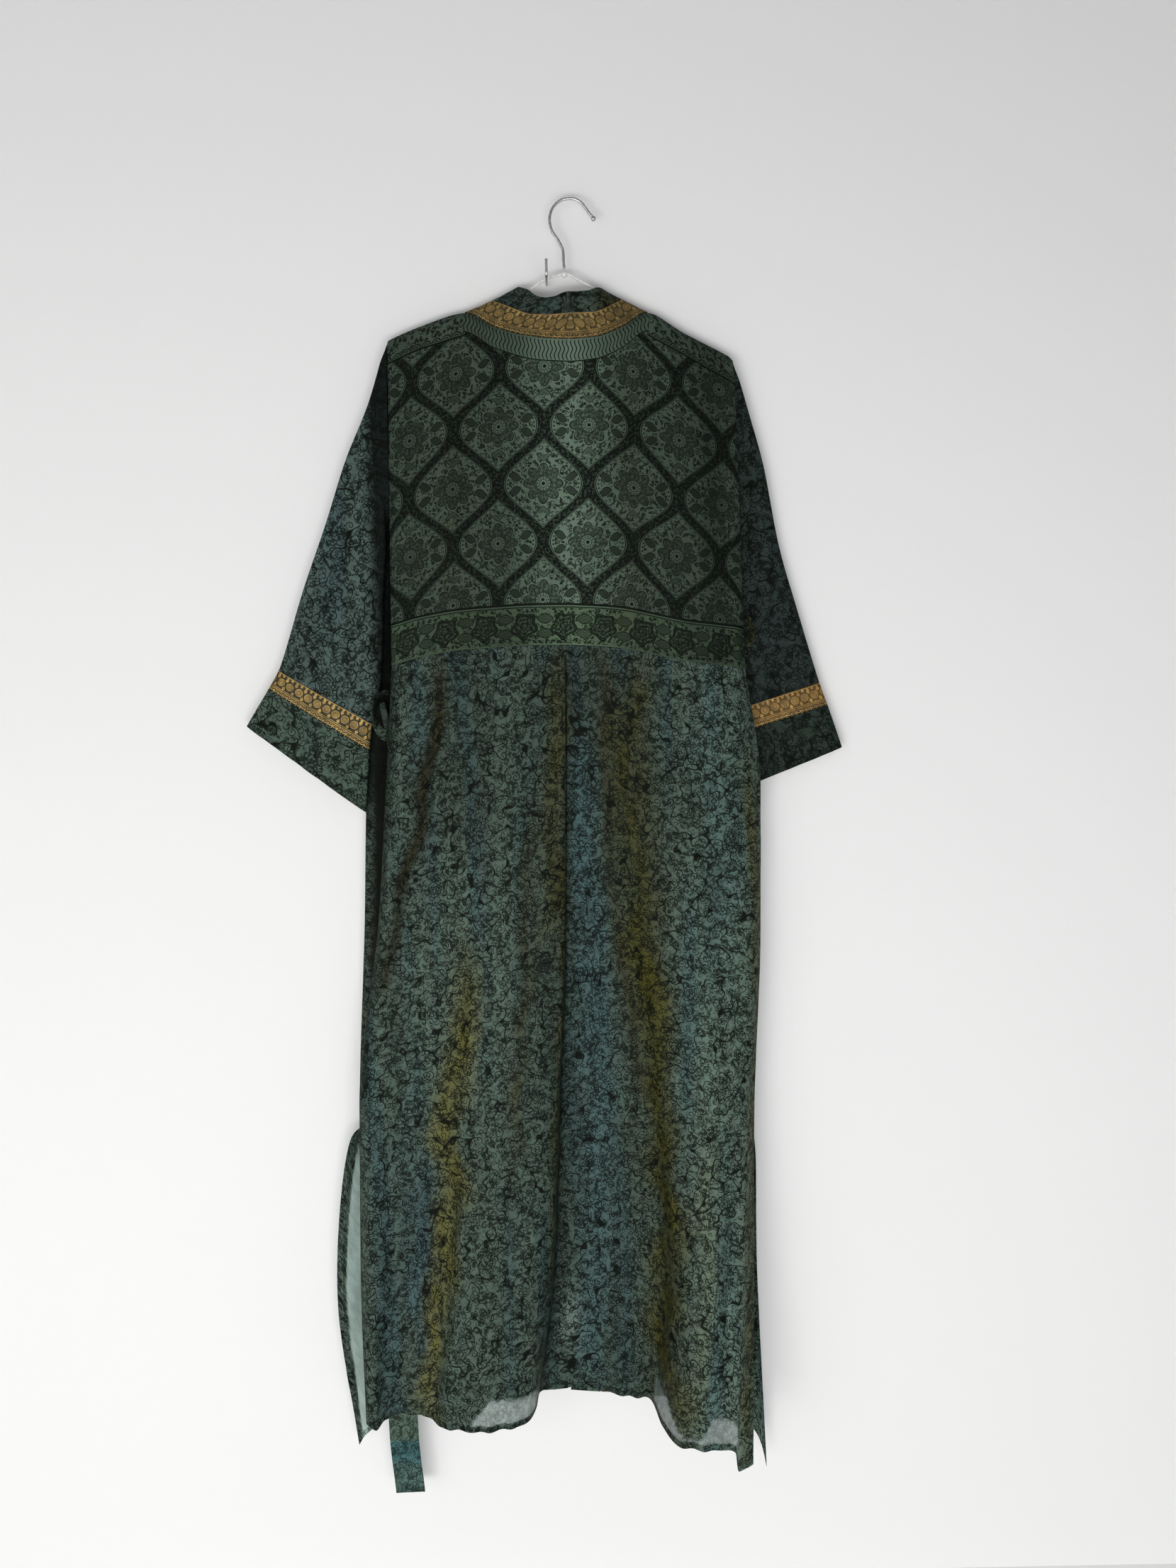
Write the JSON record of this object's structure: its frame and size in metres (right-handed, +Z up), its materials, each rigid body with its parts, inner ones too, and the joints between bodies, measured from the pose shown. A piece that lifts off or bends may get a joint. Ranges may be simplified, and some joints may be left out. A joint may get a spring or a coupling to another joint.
{
  "type": "kimono-style robe on a wire hanger and wall hook",
  "caption": "Long open-front kimono robe of thin printed cloth with border-trimmed neckband and sleeves, hung flat on a wire hanger from an L-shaped wall hook.",
  "frame": {"origin": "root of the wall hook on the wall plane y = 0", "axes": "+Z up, +Y into the wall, +X to the right for somebody facing the wall; the garment's back faces -Y"},
  "size_m": [0.7097, 0.128, 1.57],
  "materials": {
    "yoke_print": "thin silk, dark green print on sage, soft sheen",
    "printed_silk": "thin semi-sheer silk, small dark floral print on blue-green with olive streaks",
    "sleeve_print": "thin silk, small dark floral print on deep blue-green",
    "gold_border": "woven gold-coloured border, soft metallic glint",
    "coated_wire": "white coated wire",
    "satin_wire": "satin"
  },
  "bodies": {
    "root": {"back_yoke": "yoke_print", "back_skirt": "printed_silk", "front_left": "printed_silk", "front_right": "printed_silk", "neckband_border_left": "gold_border", "neckband_left": "printed_silk", "neckband_border_right": "gold_border", "neckband_right": "printed_silk", "sleeve_left": "sleeve_print", "sleeve_border_left": "gold_border", "cuff_left": "sleeve_print", "sleeve_right": "sleeve_print", "sleeve_border_right": "gold_border", "cuff_right": "sleeve_print", "belt_loop_left": "printed_silk", "belt_loop_right": "printed_silk", "belt": "printed_silk", "hanger_arms": "coated_wire", "hanger_hook": "satin_wire", "wall_hook": "satin_wire"}
  },
  "joints": []
}
